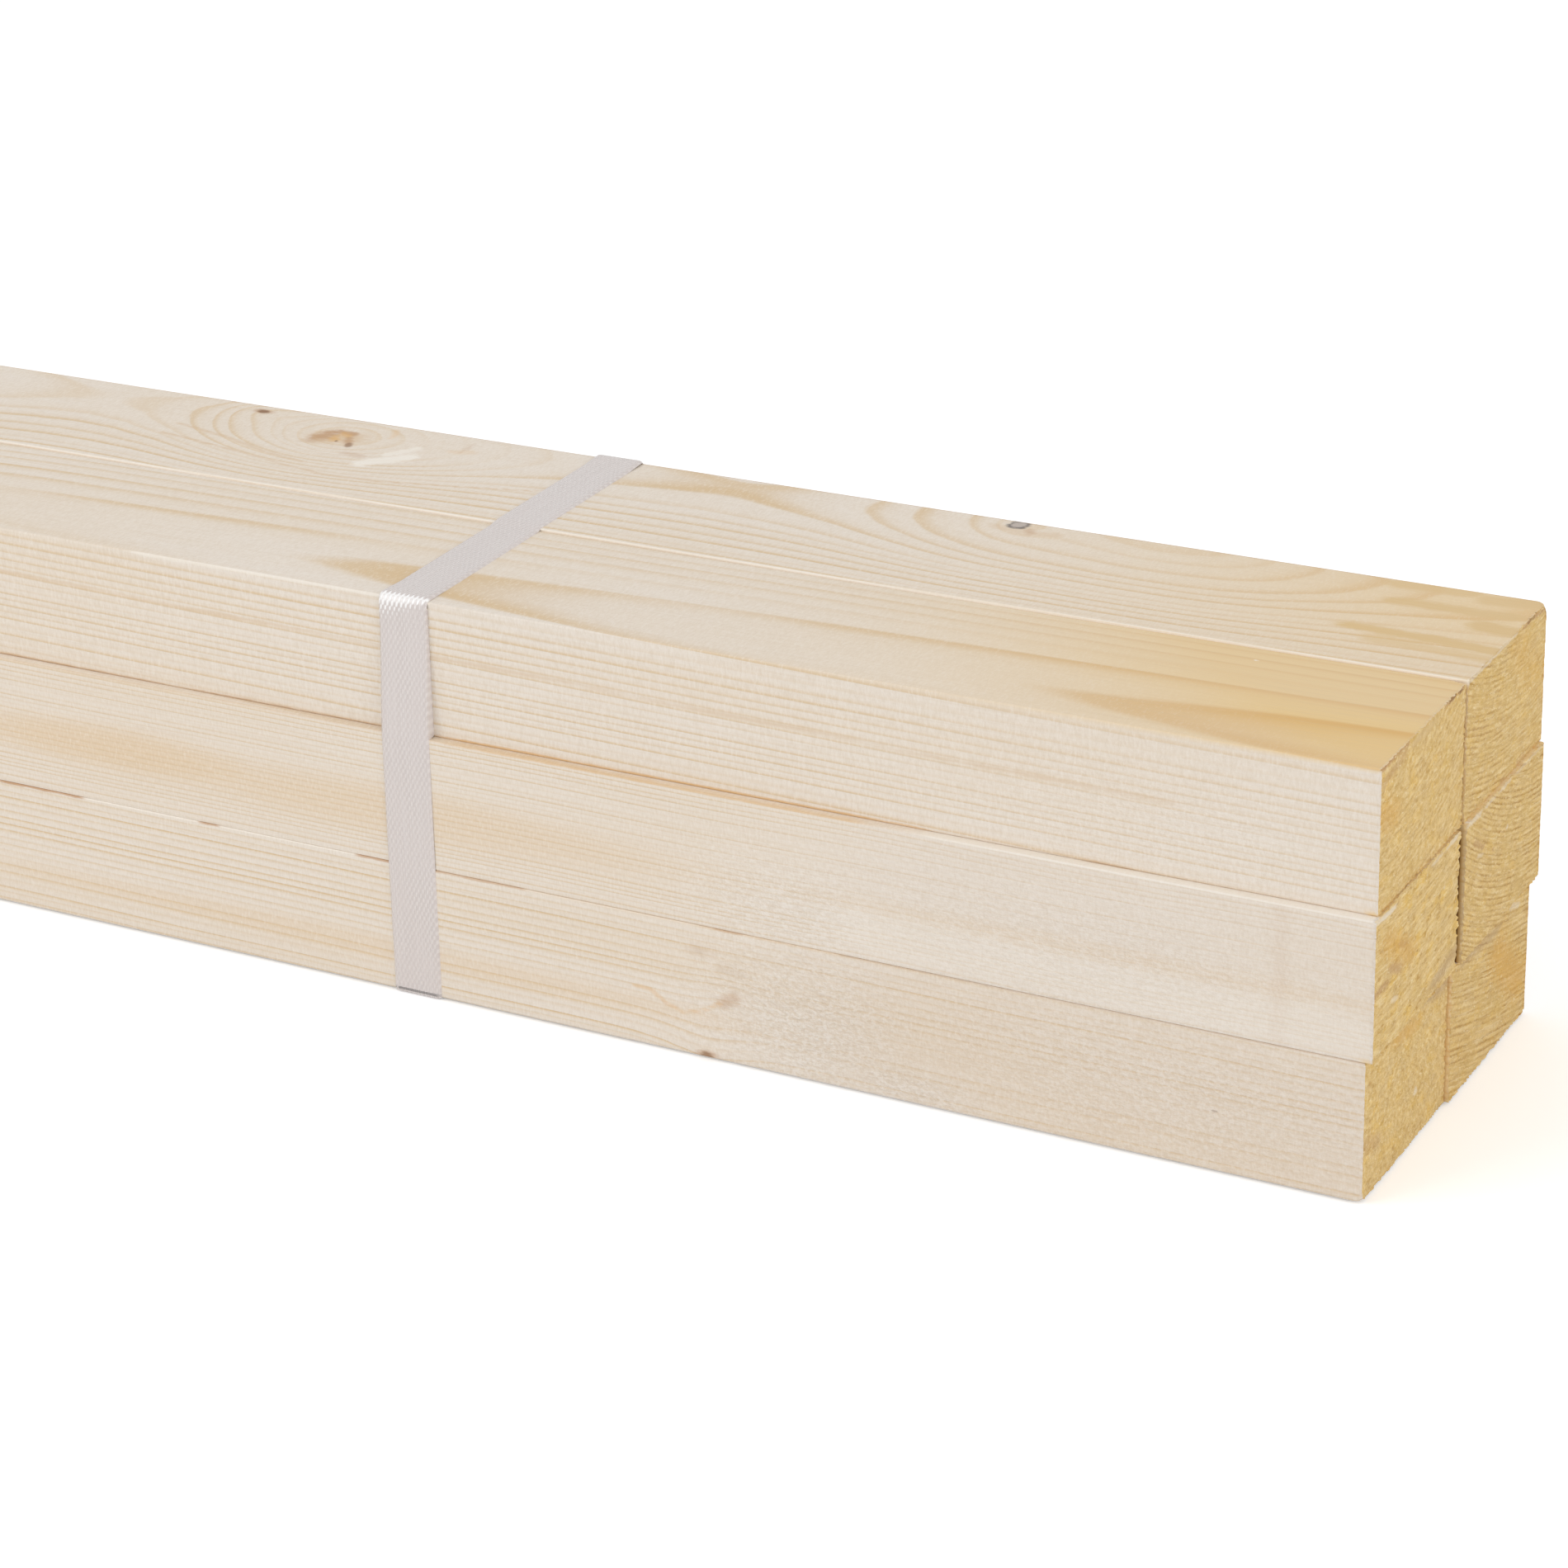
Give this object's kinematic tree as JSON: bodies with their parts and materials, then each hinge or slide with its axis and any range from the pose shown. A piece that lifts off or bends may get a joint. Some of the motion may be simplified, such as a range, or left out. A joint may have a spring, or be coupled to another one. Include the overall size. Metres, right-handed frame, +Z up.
{
  "type": "bundle of wooden battens",
  "caption": "Strapped bundle of planed softwood battens, stacked in a compact block with their sawn ends nearly flush, for framing, roofing and general building work.",
  "frame": {"origin": "under the middle of the bundle's box, level with the underside of the straps that it rests on", "axes": "+X along the battens towards the ends that the picture shows, +Y from the front column to the back column, +Z up"},
  "size_m": [2.0026, 0.126, 0.1221],
  "materials": {
    "wood": "planed and bare, sawn at the ends",
    "strap": "embossed, satin"
  },
  "bodies": {
    "root": {"batten_bottom_front": "wood", "batten_bottom_back": "wood", "batten_middle_front": "wood", "batten_middle_back": "wood", "batten_top_front": "wood", "batten_top_back": "wood", "strap_right": "strap", "strap_left": "strap"}
  },
  "joints": []
}
